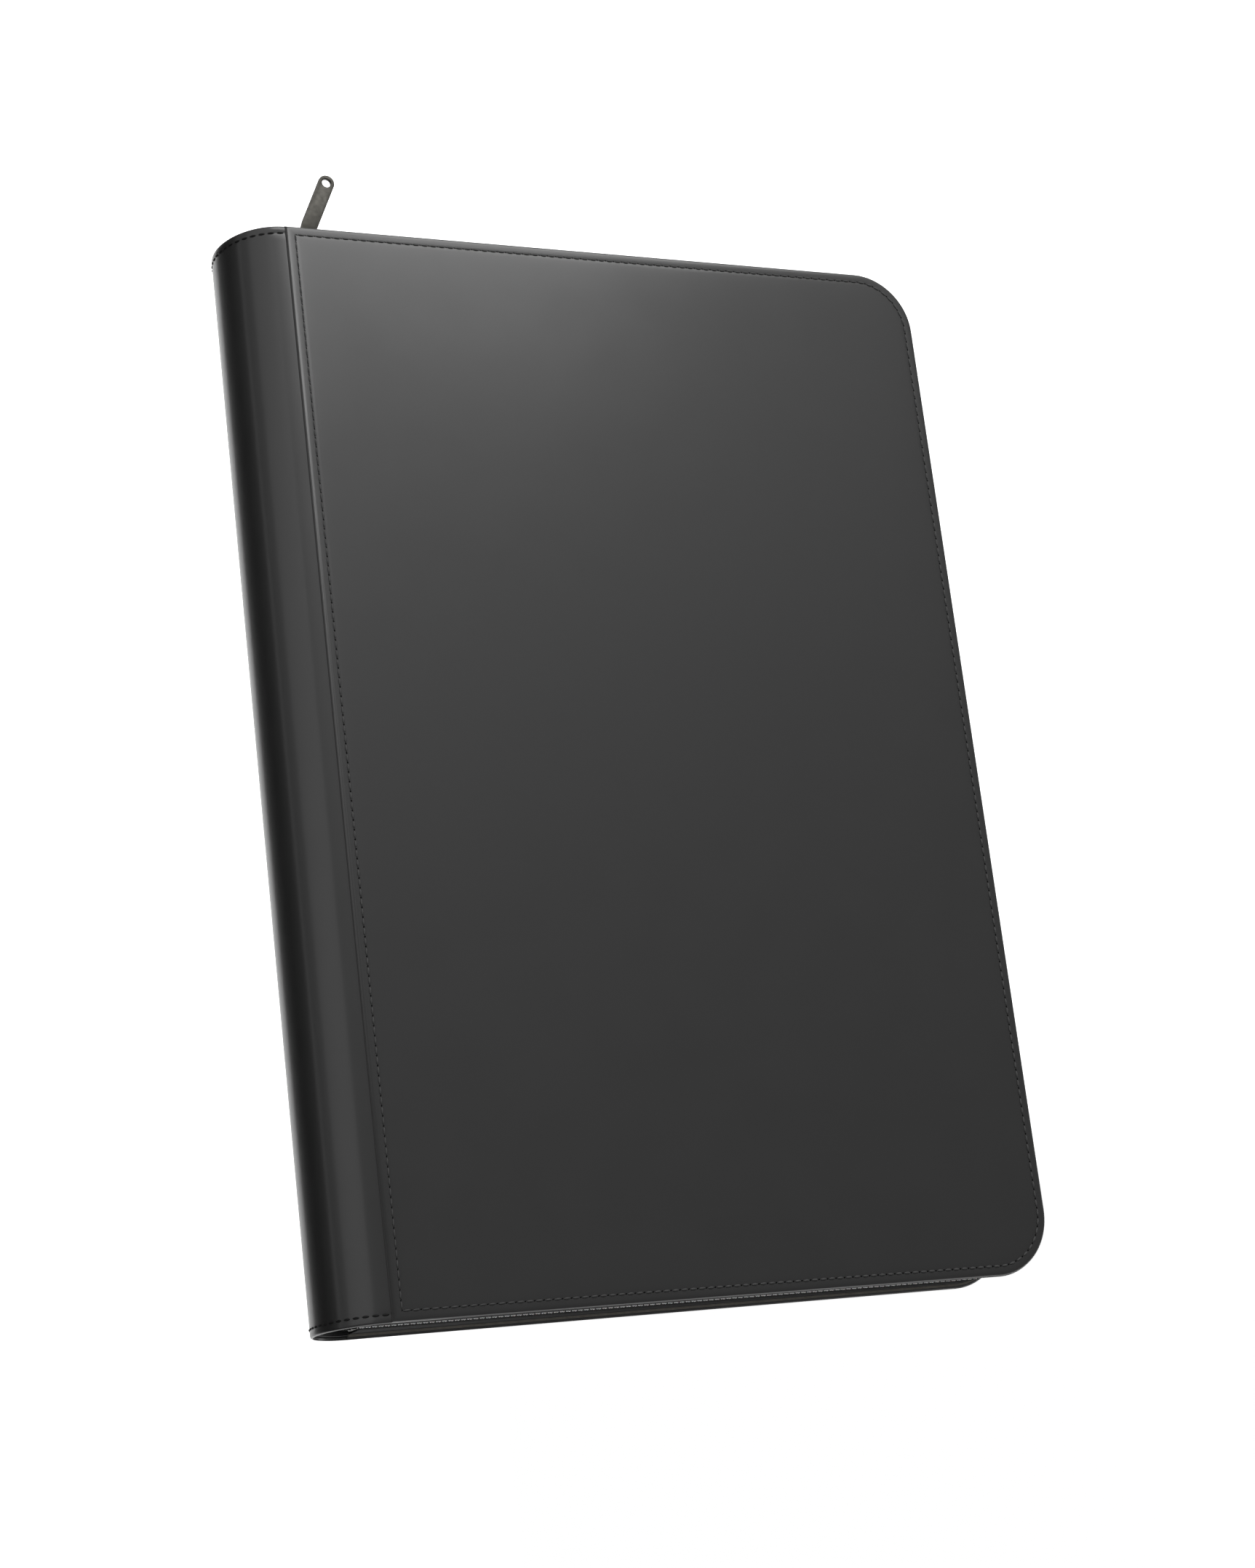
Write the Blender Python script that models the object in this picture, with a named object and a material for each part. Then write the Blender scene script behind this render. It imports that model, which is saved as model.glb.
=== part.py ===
"""Zip-up trading card binder with twenty side-loading pages, lying closed on its back cover.

Frame: origin at the middle of the back cover's outer face, +X from the spine to the opening edge,
+Y from the foot to the head of the cover, +Z out of the closed front cover.

The covers are closed to a slight wedge. The middle plane halves that wedge, and most pieces are
drawn in its frame: x along the middle plane from the spine edge of the covers, y along the spine
from the middle of the height, z square to the plane.
"""

from math import acos, atan2, cos, degrees, hypot, pi, radians, sin

import bmesh
import bpy
from mathutils import Matrix, Vector

MM = 0.001

# Overall sizes
COVER_HEIGHT = 345 * MM
COVER_WIDTH = 227 * MM
SPINE_THICKNESS = 44 * MM
SPINE_BULGE = 16 * MM
CORNER_RADIUS = 20 * MM

# Gap between two pieces that touch
GAP = 0.3 * MM

# Cover layers, from the outside in
PANEL = 0.9 * MM
BOARD = 1.6 * MM
LINING = 0.4 * MM
BOARD_INSET = 0.8 * MM

# Flexible spine, in sections that hinge on their outer line
SPINE_SECTIONS = 5
SPINE_RECESS = 1.0 * MM
SPINE_WRAP = 0.9 * MM
SPINE_LINING = 1.2 * MM
SPINE_CUT = 0.17 * MM
ELLIPSE_STEPS = 720

# Zip band: a gusset wall on each cover, then the tape, then the teeth at the middle plane
BAND_INSET = 1.5 * MM
GUSSET_WALL = 0.8 * MM
TAPE_THICKNESS = 0.7 * MM
TAPE_WIDTH = 7.4 * MM
TAPE_OVERHANG = 5.0 * MM
TEETH_THICKNESS = 1.6 * MM
TEETH_WIDTH = 1.6 * MM
TEETH_PART = 1.2 * MM
STOP_LENGTH = 1.6 * MM
STOP_THICKNESS = 2.0 * MM
BAND_START = 0.5 * MM

# Soft ends that close the hollow of the spine
END_WEB = 0.8 * MM
END_WEB_INSET = 3.2 * MM

# Slider and pull
SLIDER_PLACE = 13.5 * MM
SLIDER_LENGTH = 9.0 * MM
SLIDER_WIDTH = 8.0 * MM
SLIDER_PLATE = 1.2 * MM
SLIDER_PLAY = 0.35 * MM
SLIDER_WEB = 0.6 * MM
SLIDER_WEB_LENGTH = 2.5 * MM
BRIDGE_SPAN = 6.0 * MM
BRIDGE_BAR = 0.9 * MM
BRIDGE_WIDTH = 1.8 * MM
LINK_WIRE = 1.2 * MM
LINK_REACH = 6.5 * MM
LINK_SIDE_GAP = 0.5 * MM
LINK_TILT = radians(15)
TAB_LENGTH = 25.8 * MM
TAB_WIDTH = 5.4 * MM
TAB_THICKNESS = 1.2 * MM
TAB_END_RADIUS = 2.2 * MM
TAB_NECK = 4.0 * MM
TAB_EYE_RADIUS = 1.1 * MM
TAB_HOLE_RADIUS = 1.65 * MM
TAB_TILT = radians(25)

# Pages and the binding that holds them
PAGE_COUNT = 20
PAGE_HEIGHT = 300 * MM
PAGE_THICKNESS = 0.8 * MM
PAGE_PITCH = 1.1 * MM
PAGE_CORNER = 3.0 * MM
PAGE_EDGE_SPACE = 6.0 * MM
STACK_SPACE = 1.0 * MM
BINDING_CLEARANCE = 1.0 * MM
BINDING_SIDE_SPACE = 0.5 * MM

# The covers close on the pages at the opening edge and on the spine at the other, to a wedge
COVER_STACK = PANEL + GAP + BOARD
EDGE_THICKNESS = PAGE_COUNT * PAGE_PITCH + 2 * (COVER_STACK + GAP + LINING + STACK_SPACE)
HALF_WEDGE = atan2((SPINE_THICKNESS - EDGE_THICKNESS) / 2, COVER_WIDTH)
HALF_HEIGHT = COVER_HEIGHT / 2
MIDDLE = (
    Matrix.Translation((-COVER_WIDTH / 2, 0, SPINE_THICKNESS / 2))
    @ Matrix.Rotation(HALF_WEDGE, 4, "Y")
)
BACK = Matrix.Translation((-COVER_WIDTH / 2, 0, 0))
FRONT = MIDDLE @ Matrix.Rotation(pi, 4, "X") @ MIDDLE.inverted() @ BACK
STAND_UP = Matrix.Rotation(pi / 2, 4, "X")

COLOURS = {
    "black_pu": ((0.030, 0.030, 0.031), 0.42, 0.0),
    "greyboard": ((0.25, 0.24, 0.22), 0.90, 0.0),
    "lining_fabric": ((0.020, 0.020, 0.022), 0.80, 0.0),
    "woven_tape": ((0.018, 0.018, 0.020), 0.75, 0.0),
    "zip_nylon": ((0.45, 0.45, 0.46), 0.45, 0.0),
    "gunmetal": ((0.10, 0.10, 0.095), 0.35, 1.0),
    "page_film": ((0.55, 0.56, 0.58), 0.20, 0.0),
    "binding_film": ((0.04, 0.04, 0.045), 0.50, 0.0),
}


def clear_scene():
    for piece in list(bpy.context.scene.objects):
        bpy.data.objects.remove(piece)


def new_collection(name):
    collection = bpy.data.collections.new(name)
    bpy.context.scene.collection.children.link(collection)
    return collection


def material(name):
    """The material of this name, made once from the table of colours."""
    if name not in bpy.data.materials:
        colour, roughness, metallic = COLOURS[name]
        made = bpy.data.materials.new(name)
        made.use_nodes = True
        shader = made.node_tree.nodes["Principled BSDF"]
        shader.inputs["Base Color"].default_value = (*colour, 1)
        shader.inputs["Roughness"].default_value = roughness
        shader.inputs["Metallic"].default_value = metallic
        made.diffuse_color = (*colour, 1)
    return bpy.data.materials[name]


def arc(centre, radius, start, end, steps):
    """Points from one angle to the other, both ends included, in degrees."""
    angles = [radians(start + (end - start) * n / steps) for n in range(steps + 1)]
    return [(centre[0] + radius * cos(a), centre[1] + radius * sin(a)) for a in angles]


def flat_piece(name, outlines, thickness, place, finish):
    """A flat solid from a closed outline and its holes, half its thickness to each side."""
    curve = bpy.data.curves.new(name, "CURVE")
    curve.dimensions = "2D"
    curve.fill_mode = "BOTH"
    curve.extrude = thickness / 2
    for outline in outlines:
        spline = curve.splines.new("POLY")
        spline.points.add(len(outline) - 1)
        for point, (x, y) in zip(spline.points, outline):
            point.co = (x, y, 0, 1)
        spline.use_cyclic_u = True
    piece = bpy.data.objects.new(name, curve)
    piece.matrix_world = place
    curve.materials.append(material(finish))
    PARTS.objects.link(piece)
    return piece


def as_mesh(piece):
    """The same piece as a mesh object, with its caps welded on."""
    bpy.context.view_layer.update()
    seen = piece.evaluated_get(bpy.context.evaluated_depsgraph_get())
    mesh = bpy.data.meshes.new_from_object(seen)
    mesh.name = piece.name
    weld(mesh)
    made = bpy.data.objects.new(piece.name, mesh)
    made.matrix_world = piece.matrix_world
    PARTS.objects.link(made)
    name = piece.name
    bpy.data.objects.remove(piece)
    made.name = name
    return made


def weld(mesh):
    work = bmesh.new()
    work.from_mesh(mesh)
    bmesh.ops.remove_doubles(work, verts=work.verts, dist=1e-6)
    bmesh.ops.recalc_face_normals(work, faces=work.faces)
    work.to_mesh(mesh)
    work.free()


def join(piece, others):
    """Unites the piece with others that overlap it, and leaves one body."""
    for other in others:
        union = piece.modifiers.new("union", "BOOLEAN")
        union.operation = "UNION"
        union.solver = "EXACT"
        union.object = other
        CUTTERS.objects.link(other)
        PARTS.objects.unlink(other)
        other.hide_render = True
        other.display_type = "WIRE"


def box(name, low, high, place, finish):
    """A box between two corners in the frame that place gives."""
    size = Vector(high) - Vector(low)
    middle = (Vector(high) + Vector(low)) / 2
    bpy.ops.mesh.primitive_cube_add(size=1)
    piece = bpy.context.object
    piece.name = name
    piece.data.name = name
    piece.data.transform(Matrix.Diagonal((*size, 1)))
    piece.matrix_world = place @ Matrix.Translation(middle)
    piece.data.materials.append(material(finish))
    for collection in piece.users_collection:
        collection.objects.unlink(piece)
    PARTS.objects.link(piece)
    return piece


def pivot(name, place, holder=None):
    """An empty on a joint's axis, which its body's pieces hang from."""
    empty = bpy.data.objects.new(name, None)
    empty.empty_display_size = 5 * MM
    PARTS.objects.link(empty)
    empty.matrix_world = place
    hang([empty], holder)
    return empty


def hang(pieces, holder):
    if holder is None:
        return
    bpy.context.view_layer.update()
    for piece in pieces:
        here = piece.matrix_world.copy()
        piece.parent = holder
        piece.matrix_parent_inverse = holder.matrix_world.inverted()
        piece.matrix_world = here


# Covers


def cover_outline(left, inset):
    """A cover's outline with square spine corners and round outer ones, inset all round but left."""
    right = COVER_WIDTH - inset
    top = HALF_HEIGHT - inset
    radius = CORNER_RADIUS - inset
    turn = (right - radius, top - radius)
    return (
        [(left, -top)]
        + arc((turn[0], -turn[1]), radius, -90, 0, 8)
        + arc(turn, radius, 0, 90, 8)
        + [(left, top)]
    )


def cover_layer(name, left, inset, bottom, thickness, side, finish):
    place = side @ Matrix.Translation((0, 0, bottom + thickness / 2))
    return flat_piece(name, [cover_outline(left, inset)], thickness, place, finish)


def band_outline(top_start, bottom_start, outer, thickness, flipped):
    """The outline of a wall that runs along head, opening edge and foot, at one inset."""
    starts = (bottom_start, top_start)
    if flipped:
        starts = (top_start, bottom_start)
    walls = []
    for inset in (outer, outer + thickness):
        wall = cover_outline(0, inset)
        wall[0] = (starts[0], wall[0][1])
        wall[-1] = (starts[1], wall[-1][1])
        walls.append(wall)
    return walls[0] + walls[1][::-1]


def gusset(name, side):
    """The wall between a cover and its zip tape, which tapers with the wedge of the covers."""
    foot = COVER_STACK + GAP
    outline = band_outline(BAND_START, BAND_START, BAND_INSET, GUSSET_WALL, False)
    place = side @ Matrix.Translation((0, 0, foot))
    wall = as_mesh(flat_piece(name, [outline], 1 * MM, place, "black_pu"))
    drop = TEETH_PART / 2 + TAPE_WIDTH + GAP
    for vertex in wall.data.vertices:
        if vertex.co.z < 0:
            vertex.co.z = 0
            continue
        middle = SPINE_THICKNESS / 2 - vertex.co.x * sin(HALF_WEDGE) / cos(HALF_WEDGE)
        vertex.co.z = middle - drop / cos(HALF_WEDGE) - foot
    return wall


def zip_band(name, top, bottom, inset, thickness, near, width, front, finish):
    """A strip of the zip, from near the middle plane outwards, on the back or front half."""
    outline = band_outline(top, bottom, inset, thickness, front)
    half = MIDDLE @ Matrix.Rotation(pi if front else 0, 4, "X")
    place = half @ Matrix.Translation((0, 0, -near - width / 2))
    return flat_piece(name, [outline], width, place, finish)


def zip_stop(name, start, head, front):
    """A small clamp on the end of a row of teeth."""
    middle = HALF_HEIGHT - BAND_INSET - TAPE_THICKNESS / 2
    near = TEETH_PART / 2
    side = 1 if head else -1
    stop = []
    for half in (-1, 1):
        stop.append(side * middle + half * STOP_THICKNESS / 2)
    heights = (near, near + TEETH_WIDTH) if front else (-near - TEETH_WIDTH, -near)
    low = (start, stop[0], heights[0])
    high = (start + STOP_LENGTH, stop[1], heights[1])
    return box(name, low, high, MIDDLE, "gunmetal")


def cover(kind, side, front):
    """All the pieces that are fast to one cover."""
    lining_inset = BAND_INSET + GUSSET_WALL + GAP
    board_low = PANEL + GAP
    teeth_low = COVER_STACK + GAP
    teeth_inset = BAND_INSET + (TAPE_THICKNESS - TEETH_THICKNESS) / 2
    teeth_foot = -TAPE_OVERHANG + STOP_LENGTH + GAP
    teeth_head = SLIDER_PLACE + SLIDER_LENGTH / 2 + GAP
    stop_head = SLIDER_PLACE - SLIDER_LENGTH / 2 - GAP - STOP_LENGTH
    near = TEETH_PART / 2
    tape_near = near + TEETH_WIDTH + GAP
    tape_width = TAPE_WIDTH - TEETH_WIDTH - GAP
    return [
        cover_layer(f"{kind}_outer_panel", 0, 0, 0, PANEL, side, "black_pu"),
        cover_layer(
            f"{kind}_board", BAND_START, BOARD_INSET, board_low, BOARD, side, "greyboard"
        ),
        cover_layer(
            f"{kind}_lining", BAND_START, lining_inset, teeth_low, LINING, side, "lining_fabric"
        ),
        gusset(f"{kind}_gusset_wall", side),
        zip_band(
            f"{kind}_zip_tape",
            -TAPE_OVERHANG,
            -TAPE_OVERHANG,
            BAND_INSET,
            TAPE_THICKNESS,
            tape_near,
            tape_width,
            front,
            "woven_tape",
        ),
        zip_band(
            f"{kind}_zip_teeth",
            teeth_head,
            teeth_foot,
            teeth_inset,
            TEETH_THICKNESS,
            near,
            TEETH_WIDTH,
            front,
            "zip_nylon",
        ),
        zip_stop(f"{kind}_zip_stop_foot", -TAPE_OVERHANG, False, front),
        zip_stop(f"{kind}_zip_stop_head", stop_head, True, front),
    ]


# Spine


def spine_line():
    """The corners between spine sections: equal steps along half an ellipse, back to front."""
    rise = SPINE_THICKNESS / 2 - SPINE_RECESS
    centre = rise * sin(HALF_WEDGE)
    half_height = rise * cos(HALF_WEDGE)
    bulge = SPINE_BULGE + centre
    fine = []
    for n in range(ELLIPSE_STEPS + 1):
        t = pi * n / ELLIPSE_STEPS
        fine.append(Vector((centre - bulge * sin(t), -half_height * cos(t))))
    lengths = [0]
    for a, b in zip(fine, fine[1:]):
        lengths.append(lengths[-1] + (b - a).length)
    corners = []
    for n in range(SPINE_SECTIONS + 1):
        wanted = lengths[-1] * n / SPINE_SECTIONS
        nearest = min(range(len(fine)), key=lambda k: abs(lengths[k] - wanted))
        corners.append(fine[nearest])
    return corners


def headings(corners):
    """The direction of each cover and section along the spine's line, in radians."""
    along = [pi + HALF_WEDGE]
    for a, b in zip(corners, corners[1:]):
        along.append(atan2(b.y - a.y, b.x - a.x))
    along.append(-HALF_WEDGE)
    return along


def fold_angles():
    """How far each spine hinge turns from closed to flat, from the back cover to the front."""
    along = headings(spine_line())
    return [a - b for a, b in zip(along, along[1:])]


def inner_line(depth):
    """The spine's line moved inwards, mitred at each corner and square to the covers at its ends."""
    corners = spine_line()
    along = headings(corners)
    moved = []
    for n, corner in enumerate(corners):
        before, after = along[n], along[n + 1]
        if n == 0:
            mitre, turn = before - pi / 2, after - before
        elif n == len(corners) - 1:
            mitre, turn = after - pi / 2, after - before
        else:
            mitre, turn = (before + after) / 2 - pi / 2, (after - before) / 2
        reach = depth / cos(turn)
        moved.append(corner + reach * Vector((cos(mitre), sin(mitre))))
    return moved


def on_line(a, b, x):
    """The point at this x on the line through two points."""
    return a + (b - a) * (x - a.x) / (b.x - a.x)


def spine_layer(name, number, top, bottom, finish):
    """One layer of one spine section, between two depths, cut a little short at both ends."""
    outer = inner_line(top)
    inner = inner_line(bottom)
    heading = headings(spine_line())[number]
    cut = SPINE_CUT * Vector((cos(heading), sin(heading)))
    outline = [
        outer[number - 1] + cut,
        outer[number] - cut,
        inner[number] - cut,
        inner[number - 1] + cut,
    ]
    return flat_piece(name, [outline], COVER_HEIGHT, MIDDLE @ STAND_UP, finish)


def spine_depth():
    return SPINE_WRAP + GAP + SPINE_LINING


def spine_section(number):
    wrap = spine_layer(f"spine_wrap_{number}", number, 0, SPINE_WRAP, "black_pu")
    depth = SPINE_WRAP + GAP
    lining = spine_layer(
        f"spine_lining_{number}", number, depth, spine_depth(), "lining_fabric"
    )
    return [wrap, lining]


def end_web(name, head):
    """The half-moon that closes one end of the spine's hollow and folds inwards as it opens."""
    outline = inner_line(spine_depth() + GAP)
    outline[0] = on_line(outline[1], outline[0], -GAP)
    outline[-1] = on_line(outline[-2], outline[-1], -GAP)
    side = 1 if head else -1
    middle = side * (HALF_HEIGHT - END_WEB_INSET - END_WEB / 2)
    place = MIDDLE @ Matrix.Translation((0, middle, 0)) @ STAND_UP
    return flat_piece(name, [outline], END_WEB, place, "lining_fabric")


def end_web_axis(head):
    """A point on the fold of an end web: the web's inner face, against the middle section."""
    corners = inner_line(spine_depth() + GAP)
    x = min(corner.x for corner in corners)
    side = 1 if head else -1
    return MIDDLE @ Vector((x, side * (HALF_HEIGHT - END_WEB_INSET - END_WEB), 0))


# Pages


def middle_face():
    """How far the spine's middle section reaches inwards, in the middle plane's frame."""
    return min(corner.x for corner in inner_line(spine_depth()))


def page_height(number):
    """The height of a page over the middle plane. Page 1 is next to the back cover."""
    return (number - (PAGE_COUNT + 1) / 2) * PAGE_PITCH


def first_root():
    """Where the outermost pages turn, clear of the spine sections beside the middle one."""
    reach = abs(page_height(1)) + PAGE_PITCH
    face = inner_line(spine_depth())
    a, b = face[1], face[2]
    beside = a.x + (b.x - a.x) * (-reach - a.y) / (b.y - a.y)
    return beside + BINDING_CLEARANCE + BINDING_SIDE_SPACE


def page_root(number):
    """Where a page turns: each page nearer the middle turns one pitch further from the spine."""
    outermost = abs(page_height(1))
    return first_root() + outermost - abs(page_height(number))


def page(number):
    root = page_root(number)
    end = COVER_WIDTH - BAND_INSET - PAGE_EDGE_SPACE
    half = PAGE_HEIGHT / 2
    turn = (end - PAGE_CORNER, half - PAGE_CORNER)
    outline = (
        [(root, -half)]
        + arc((turn[0], -turn[1]), PAGE_CORNER, -90, 0, 3)
        + arc(turn, PAGE_CORNER, 0, 90, 3)
        + [(root, half)]
    )
    place = MIDDLE @ Matrix.Translation((0, 0, page_height(number)))
    return flat_piece(f"page_{number:02d}", [outline], PAGE_THICKNESS, place, "page_film")


def page_binding():
    """The ridge that the pages' bound edges make up, sewn along the spine's middle section."""
    face = middle_face() + GAP
    inner = inner_line(spine_depth())
    base = abs(inner[3].y) - BINDING_SIDE_SPACE
    ridge = page_root(PAGE_COUNT // 2) + PAGE_PITCH / 2 - BINDING_CLEARANCE
    flank = abs(page_height(1)) + PAGE_PITCH / 2
    shoulder = ridge - flank
    outline = [
        (face, -base),
        (shoulder, -flank),
        (ridge, 0),
        (shoulder, flank),
        (face, base),
    ]
    place = MIDDLE @ STAND_UP
    return flat_piece("page_binding", [outline], PAGE_HEIGHT, place, "binding_film")


# Slider and pull, drawn with x along the zip, y out of the head and z across the zip


def slider_frame():
    middle = HALF_HEIGHT - BAND_INSET - TAPE_THICKNESS / 2
    return MIDDLE @ Matrix.Translation((SLIDER_PLACE, middle, 0))


def slot_half():
    return TEETH_THICKNESS / 2 + SLIDER_PLAY


def wire_height():
    """The height of the link's inner run over the middle of the tape."""
    return slot_half() + SLIDER_PLATE + GAP + LINK_WIRE / 2


def slider_plate(name, side):
    half = SLIDER_LENGTH / 2
    wide = SLIDER_WIDTH / 2
    nose = SLIDER_WIDTH / 4
    outline = [(-half, -nose), (-nose, -wide), (half, -wide * 0.75)]
    outline += [(x, -z) for x, z in reversed(outline)]
    place = slider_frame() @ Matrix.Translation(
        (0, side * (slot_half() + SLIDER_PLATE / 2), 0)
    )
    return as_mesh(flat_piece(name, [outline], SLIDER_PLATE, place @ STAND_UP, "gunmetal"))


def slider():
    """Two plates joined by a thin web between the tapes, with a bridge on the outer one."""
    frame = slider_frame()
    half = SLIDER_LENGTH / 2
    inside = slot_half()
    bite = SLIDER_PLATE / 2
    web = box(
        "slider_web",
        (-half + GAP, -inside - bite, -SLIDER_WEB / 2),
        (-half + GAP + SLIDER_WEB_LENGTH, inside + bite, SLIDER_WEB / 2),
        frame,
        "gunmetal",
    )
    low = inside + bite
    hole = wire_height() + LINK_WIRE / 2 + GAP
    top = hole + BRIDGE_BAR
    span = BRIDGE_SPAN / 2
    leg = span - BRIDGE_BAR
    shoulder = hole - BRIDGE_BAR / 2
    outline = [(-span, low), (-span, shoulder), (-leg, top)]
    outline += [(leg, top), (span, shoulder), (span, low)]
    outline += [(leg, low), (leg, hole), (-leg, hole), (-leg, low)]
    bridge = as_mesh(flat_piece("slider_bridge", [outline], BRIDGE_WIDTH, frame, "gunmetal"))
    body = slider_plate("zip_slider", 1)
    inner = slider_plate("slider_inner_plate", -1)
    join(body, [web, inner, bridge])
    return body


def link_frame():
    """On the link's inner run, turned to where the link points at rest."""
    place = slider_frame() @ Matrix.Translation((0, wire_height(), 0))
    return place @ Matrix.Rotation(-LINK_TILT, 4, "Z")


def pull_link():
    """A wire loop that passes under the bridge and through the tab's eye."""
    side = BRIDGE_WIDTH / 2 + LINK_SIDE_GAP + LINK_WIRE / 2
    bend = LINK_WIRE / 2 + GAP
    route = []
    corners = [(bend, -side, 180, 270), (LINK_REACH - bend, -side, 270, 360)]
    corners += [(LINK_REACH - bend, side, 0, 90), (bend, side, 90, 180)]
    for y, z, start, end in corners:
        inward = bend if z < 0 else -bend
        route += arc((y, z + inward), bend, start, end, 3)
    curve = bpy.data.curves.new("pull_link", "CURVE")
    curve.dimensions = "3D"
    curve.bevel_depth = LINK_WIRE / 2
    curve.bevel_resolution = 2
    spline = curve.splines.new("POLY")
    spline.points.add(len(route) - 1)
    for point, (y, z) in zip(spline.points, route):
        point.co = (0, y, z, 1)
    spline.use_cyclic_u = True
    link = bpy.data.objects.new("pull_link", curve)
    link.matrix_world = link_frame()
    curve.materials.append(material("gunmetal"))
    PARTS.objects.link(link)
    return link


def tab_frame():
    place = link_frame() @ Matrix.Translation((0, LINK_REACH, 0))
    return place @ Matrix.Rotation(LINK_TILT - TAB_TILT, 4, "Z")


def pull_tab():
    """The flat tab, with an eye for the link at the origin and a hole near its far end."""
    wide = TAB_WIDTH / 2
    far = TAB_LENGTH - TAB_END_RADIUS - wide
    lean = degrees(acos(TAB_END_RADIUS / hypot(TAB_NECK, wide)) - atan2(TAB_NECK, wide))
    outline = [(wide, TAB_NECK)] + arc((0, far), wide, 0, 180, 12) + [(-wide, TAB_NECK)]
    outline += arc((0, 0), TAB_END_RADIUS, 180 + lean, 360 - lean, 10)
    eye = arc((0, 0), TAB_EYE_RADIUS, 0, 330, 11)
    hole = arc((0, far), TAB_HOLE_RADIUS, 0, 345, 15)
    return flat_piece("pull_tab", [outline, eye, hole], TAB_THICKNESS, tab_frame(), "gunmetal")


def spine_pivot(number):
    """The frame on a spine hinge's axis. Hinge 1 is at the back cover's edge."""
    corner = spine_line()[number - 1]
    return MIDDLE @ Matrix.Translation((corner.x, 0, corner.y))


def page_pivot(number):
    return MIDDLE @ Matrix.Translation((page_root(number), 0, page_height(number)))


def build():
    middle = (SPINE_SECTIONS + 1) // 2
    root = pivot(f"spine_{middle}_frame", spine_pivot(middle))
    hang(spine_section(middle), root)

    holder = root
    for number in range(middle - 1, 0, -1):
        holder = pivot(f"spine_{number}_hinge", spine_pivot(number + 1), holder)
        hang(spine_section(number), holder)
    back = pivot("back_cover_hinge", spine_pivot(1), holder)
    hang(cover("back", BACK, False), back)

    holder = root
    for number in range(middle + 1, SPINE_SECTIONS + 1):
        holder = pivot(f"spine_{number}_hinge", spine_pivot(number), holder)
        hang(spine_section(number), holder)
    front = pivot("front_cover_hinge", spine_pivot(SPINE_SECTIONS + 1), holder)
    hang(cover("front", FRONT, True), front)

    hang([page_binding()], root)
    for number in range(1, PAGE_COUNT + 1):
        hinge = pivot(f"page_{number:02d}_hinge", page_pivot(number), root)
        hang([page(number)], hinge)
    for name, head in (("spine_end_web_foot", False), ("spine_end_web_head", True)):
        fold = pivot(f"{name}_fold", Matrix.Translation(end_web_axis(head)), root)
        hang([end_web(name, head)], fold)

    slide = pivot("zip_slider_frame", slider_frame(), back)
    hang([slider()], slide)
    swing = pivot("pull_link_pivot", link_frame(), slide)
    hang([pull_link()], swing)
    tab_pin = pivot("pull_tab_pivot", tab_frame(), swing)
    hang([pull_tab()], tab_pin)


clear_scene()
PARTS = new_collection("trading_card_binder")
CUTTERS = new_collection("cutters")
build()
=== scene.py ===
import math

import bpy
from mathutils import Matrix, Vector


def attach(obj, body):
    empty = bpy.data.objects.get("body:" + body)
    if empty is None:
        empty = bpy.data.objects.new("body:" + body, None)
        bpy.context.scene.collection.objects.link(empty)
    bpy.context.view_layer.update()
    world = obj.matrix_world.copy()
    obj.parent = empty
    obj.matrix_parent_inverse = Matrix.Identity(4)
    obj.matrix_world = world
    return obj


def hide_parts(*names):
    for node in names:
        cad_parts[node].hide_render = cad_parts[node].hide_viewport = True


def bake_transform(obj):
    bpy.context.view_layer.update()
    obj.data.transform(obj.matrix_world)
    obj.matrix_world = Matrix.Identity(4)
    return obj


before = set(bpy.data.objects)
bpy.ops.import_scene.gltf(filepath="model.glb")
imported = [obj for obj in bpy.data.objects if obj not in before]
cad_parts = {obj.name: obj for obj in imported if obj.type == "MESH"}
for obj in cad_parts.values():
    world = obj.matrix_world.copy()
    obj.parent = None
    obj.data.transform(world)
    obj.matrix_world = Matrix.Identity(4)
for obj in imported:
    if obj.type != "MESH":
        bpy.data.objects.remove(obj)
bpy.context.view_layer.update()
print("frame loaded:", len(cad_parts), "nodes")

mm = 0.001
hair = 0.001 * mm  # nearer than this counts as the same place

# Sizes of the whole binder, shared by all its pieces
binder = {
    "height": 345 * mm,
    "width": 227 * mm,
    "spineThickness": 44 * mm,
    "edgeThickness": 31 * mm,
    "cornerRadius": 20 * mm,
    "cornerSteps": 24,
}
halfHeight = binder["height"] / 2
halfWedge = math.atan2((binder["spineThickness"] - binder["edgeThickness"]) / 2, binder["width"])
halfTurn = Matrix.Rotation(math.pi, 4, "X")
# The middle plane halves the wedge of the two covers: x runs from their spine edge, y along the spine
middlePlace = (
    Matrix.Translation((-binder["width"] / 2, 0, binder["spineThickness"] / 2))
    @ Matrix.Rotation(halfWedge, 4, "Y")
)
# A cover's own frame has z out of its outer face, which lies at 0
backPlace = Matrix.Translation((-binder["width"] / 2, 0, 0)) @ halfTurn
frontPlace = middlePlace @ halfTurn @ middlePlace.inverted() @ backPlace
covers = {"back": backPlace, "front": frontPlace}


# Materials

def colour(hexValue):
    parts = [int(hexValue[n:n + 2], 16) / 255 for n in (0, 2, 4)]
    return tuple(c / 12.92 if c <= 0.04045 else ((c + 0.055) / 1.055) ** 2.4 for c in parts) + (1,)


def addNode(tree, kind, inputs=None, **settings):
    node = tree.nodes.new(kind)
    for name, value in settings.items():
        setattr(node, name, value)
    for name, value in (inputs or {}).items():
        if isinstance(value, bpy.types.NodeSocket):
            tree.links.new(value, node.inputs[name])
        else:
            node.inputs[name].default_value = value
    return node


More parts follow.
